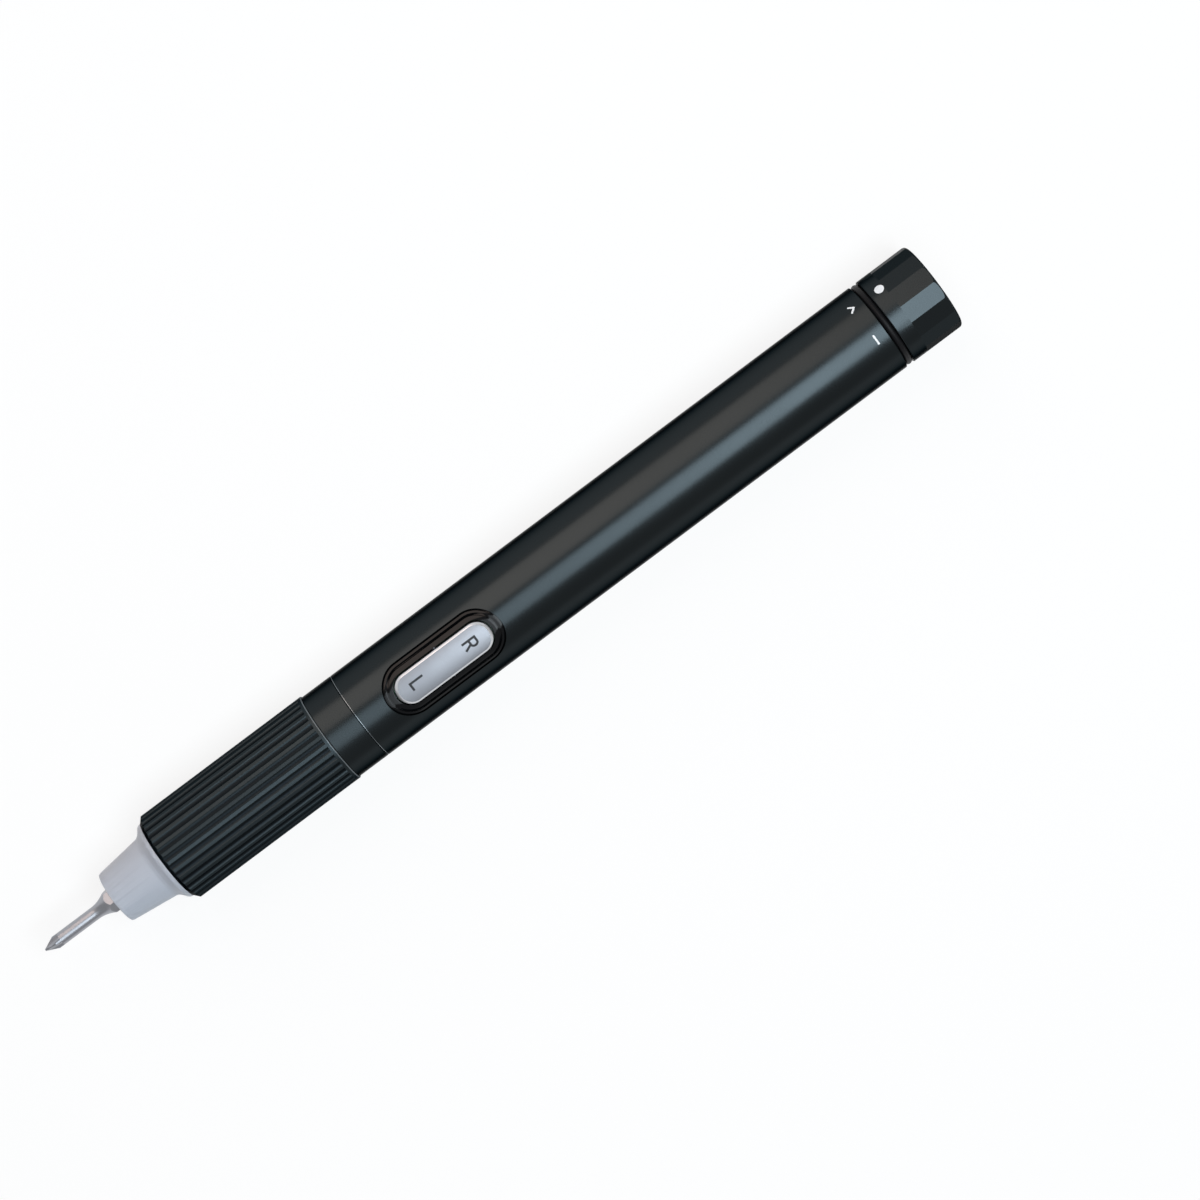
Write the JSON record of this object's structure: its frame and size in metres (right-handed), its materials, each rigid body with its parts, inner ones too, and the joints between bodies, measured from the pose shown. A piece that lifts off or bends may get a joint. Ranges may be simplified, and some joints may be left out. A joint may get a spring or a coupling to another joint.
{
  "type": "electric torque screwdriver",
  "caption": "Pen-shaped electric torque screwdriver with a ribbed collar, a rocker button, a translucent nose, a cross-point bit and a bayonet tail cap.",
  "frame": {"origin": "centre of the nose's front face, where the bit goes in, on the spindle axis", "axes": "+X along the spindle axis towards the tail cap, +Z through the middle of the rocker button"},
  "size_m": [0.195, 0.0176, 0.0177],
  "materials": {
    "frosted_polycarbonate": "frosted, light-grey, translucent",
    "anodised_aluminium": "satin black anodised",
    "ribbed_anodised_aluminium": "black anodised, turned and grooved",
    "gloss_black_abs": "polished black",
    "satin_aluminium": "satin silver",
    "nickel_plated_steel": "bright nickel",
    "hardened_steel": "ground",
    "sintered_steel": "as sintered",
    "gear_zinc": "die cast",
    "bearing_bronze": "sintered, oiled",
    "pinion_brass": "machined",
    "nickel_magnet": "nickel plated",
    "ferrite": "moulded ferrite",
    "plated_motor_steel": "zinc plated, drawn",
    "electrical_steel": "laminated",
    "enamelled_copper": "enamelled",
    "bare_copper": "turned",
    "green_nylon": "moulded",
    "black_nylon": "moulded",
    "green_board": "solder mask",
    "white_board": "white solder mask",
    "led_phosphor": "moulded",
    "polyimide_flex": "flat cable",
    "epoxy_package": "moulded",
    "pvc_wire": "extruded",
    "silicone": "moulded",
    "nickel_contact": "nickel-plated spring steel",
    "cell_jacket": "printed foil jacket",
    "nitrile_rubber": "moulded"
  },
  "bodies": {
    "housing": {"nose_light_guide": "frosted_polycarbonate", "led_board": "white_board", "led_lamps": "led_phosphor", "led_flex": "polyimide_flex", "grip_collar": "ribbed_anodised_aluminium", "front_housing": "anodised_aluminium", "front_bush": "bearing_bronze", "lock_ring": "hardened_steel", "ring_gear": "gear_zinc", "motor_plate": "gear_zinc", "motor_screws": "plated_motor_steel", "motor_can": "plated_motor_steel", "motor_magnets": "ferrite", "motor_end_cap": "green_nylon", "motor_brushes": "bare_copper", "motor_terminals": "pinion_brass", "motor_leads": "pvc_wire", "barrel": "anodised_aluminium", "button_bezel": "gloss_black_abs", "pivot_pin": "nickel_plated_steel", "inner_frame": "black_nylon", "control_board": "green_board", "switch_domes": "silicone", "driver_chips": "epoxy_package", "front_contact": "nickel_contact", "cell_tube": "black_nylon", "front_cell": "cell_jacket", "rear_cell": "cell_jacket"},
    "rocker": {"rocker_button": "satin_aluminium"},
    "spindle": {"spindle": "hardened_steel", "bit_magnet": "nickel_magnet", "lock_cam": "hardened_steel", "lock_rollers": "hardened_steel", "output_carrier": "sintered_steel"},
    "bit": {"screwdriver_bit": "nickel_plated_steel"},
    "first_carrier": {"first_carrier": "sintered_steel"},
    "first_planet_a": {"first_planet_a": "sintered_steel"},
    "first_planet_b": {"first_planet_b": "sintered_steel"},
    "first_planet_c": {"first_planet_c": "sintered_steel"},
    "second_planet_a": {"second_planet_a": "sintered_steel"},
    "second_planet_b": {"second_planet_b": "sintered_steel"},
    "second_planet_c": {"second_planet_c": "sintered_steel"},
    "rotor": {"motor_shaft": "hardened_steel", "motor_pinion": "pinion_brass", "armature_core": "electrical_steel", "armature_windings": "enamelled_copper", "commutator": "bare_copper"},
    "cap_carrier": {"cap_contact": "nickel_contact", "cell_spring": "nickel_contact"},
    "tail_cap": {"tail_cap": "anodised_aluminium", "cap_seal": "nitrile_rubber"}
  },
  "joints": [
    {"name": "motor_spin", "type": "hinge", "parent": "housing", "child": "rotor", "pos_m": [0.045, 0, 0], "axis": [1, 0, 0], "continuous": true},
    {"name": "first_carrier_spin", "type": "hinge", "parent": "housing", "child": "first_carrier", "pos_m": [0.03, 0, 0], "axis": [1, 0, 0], "continuous": true},
    {"name": "spindle_spin", "type": "hinge", "parent": "housing", "child": "spindle", "pos_m": [0.018, 0, 0], "axis": [1, 0, 0], "continuous": true},
    {"name": "first_planet_a_spin", "type": "hinge", "parent": "first_carrier", "child": "first_planet_a", "pos_m": [0.0322, 0, -0.0036], "axis": [1, 0, 0], "continuous": true},
    {"name": "first_planet_b_spin", "type": "hinge", "parent": "first_carrier", "child": "first_planet_b", "pos_m": [0.0322, 0.00312, 0.0018], "axis": [1, 0, 0], "continuous": true},
    {"name": "first_planet_c_spin", "type": "hinge", "parent": "first_carrier", "child": "first_planet_c", "pos_m": [0.0322, -0.00312, 0.0018], "axis": [1, 0, 0], "continuous": true},
    {"name": "second_planet_a_spin", "type": "hinge", "parent": "spindle", "child": "second_planet_a", "pos_m": [0.0278, 0, -0.0036], "axis": [1, 0, 0], "continuous": true},
    {"name": "second_planet_b_spin", "type": "hinge", "parent": "spindle", "child": "second_planet_b", "pos_m": [0.0278, 0.00312, 0.0018], "axis": [1, 0, 0], "continuous": true},
    {"name": "second_planet_c_spin", "type": "hinge", "parent": "spindle", "child": "second_planet_c", "pos_m": [0.0278, -0.00312, 0.0018], "axis": [1, 0, 0], "continuous": true},
    {"name": "bit_pull", "type": "slide", "parent": "spindle", "child": "bit", "axis": [-1, 0, 0], "range_m": [0, 0.014]},
    {"name": "rocker_tilt", "type": "hinge", "parent": "housing", "child": "rocker", "pos_m": [0.0715, 0, 0.0061], "axis": [0, 1, 0], "range_deg": [-2.5, 2.5], "stiffness_Nm_per_rad": 0.2, "deforming": ["switch_domes"]},
    {"name": "cap_pull", "type": "slide", "parent": "housing", "child": "cap_carrier", "axis": [1, 0, 0], "range_m": [0, 0.012]},
    {"name": "cap_turn", "type": "hinge", "parent": "cap_carrier", "child": "tail_cap", "pos_m": [0.1737, 0, 0], "axis": [1, 0, 0], "range_deg": [0, 47.5]}
  ],
  "couplings": [
    {"joint": "first_carrier_spin", "follows": "motor_spin", "ratio": 0.25},
    {"joint": "spindle_spin", "follows": "motor_spin", "ratio": 0.0625},
    {"joint": "first_planet_a_spin", "follows": "motor_spin", "ratio": -0.75},
    {"joint": "first_planet_b_spin", "follows": "motor_spin", "ratio": -0.75},
    {"joint": "first_planet_c_spin", "follows": "motor_spin", "ratio": -0.75},
    {"joint": "second_planet_a_spin", "follows": "motor_spin", "ratio": -0.1875},
    {"joint": "second_planet_b_spin", "follows": "motor_spin", "ratio": -0.1875},
    {"joint": "second_planet_c_spin", "follows": "motor_spin", "ratio": -0.1875}
  ]
}
